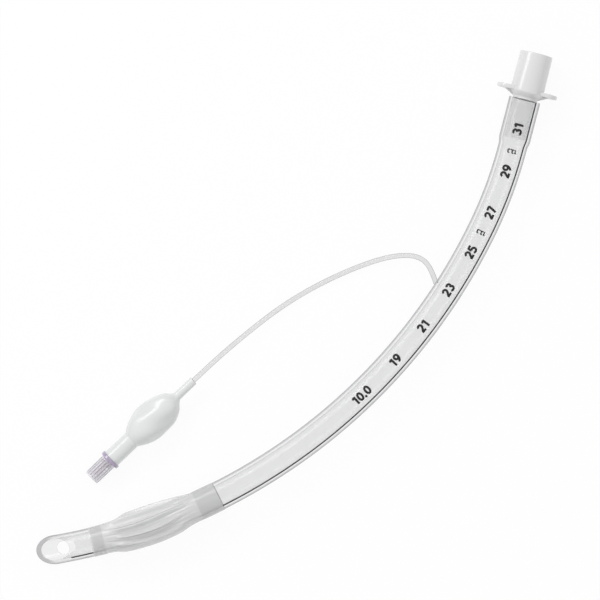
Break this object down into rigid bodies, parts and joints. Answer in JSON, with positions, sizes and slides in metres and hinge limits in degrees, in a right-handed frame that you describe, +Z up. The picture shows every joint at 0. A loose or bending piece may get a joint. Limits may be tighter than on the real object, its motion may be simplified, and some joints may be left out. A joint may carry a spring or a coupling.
{
  "type": "endotracheal tube",
  "caption": "Curved clear tracheal tube with bevelled tip, side eye, folded cuff, tapered 15 mm connector, and a pilot balloon with spring valve on a thin inflation line.",
  "frame": {"origin": "centre of the connector's machine-end face", "axes": "+X out of the machine end along the connector axis, +Y towards the concave side of the tube, +Z up from the table, tube centreline in the XY plane"},
  "size_m": [0.2804, 0.1779, 0.0169],
  "materials": {
    "clear_pvc": "clear, slightly milky extrusion",
    "radiopaque_pvc": "co-extruded barium-filled line",
    "polypropylene": "frosted translucent moulding",
    "pvc_film": "thin blown film",
    "blown_pvc": "milky blown PVC",
    "line_pvc": "thin clear extrusion",
    "valve_polymer": "clear moulding with a lavender tint",
    "valve_acetal": "moulded pale pink plastic",
    "silicone_rubber": "moulded pale silicone",
    "spring_steel": "drawn stainless wire"
  },
  "bodies": {
    "tube": {"main_tube": "clear_pvc", "radiopaque_line": "radiopaque_pvc", "connector": "polypropylene", "cuff": "pvc_film", "inflation_line": "line_pvc", "pilot_balloon": "blown_pvc", "valve_housing": "valve_polymer", "valve_retainer": "valve_acetal", "valve_spring": "spring_steel"},
    "valve_stem": {"valve_stem": "valve_acetal", "valve_seal": "silicone_rubber"}
  },
  "joints": [
    {"name": "valve_press", "type": "slide", "parent": "tube", "child": "valve_stem", "axis": [0.8484, -0.5281, 0.0371], "range_m": [0, 0.0018], "stiffness_N_per_m": 300, "springref_m": -0.001, "deforming": ["valve_spring"]}
  ]
}
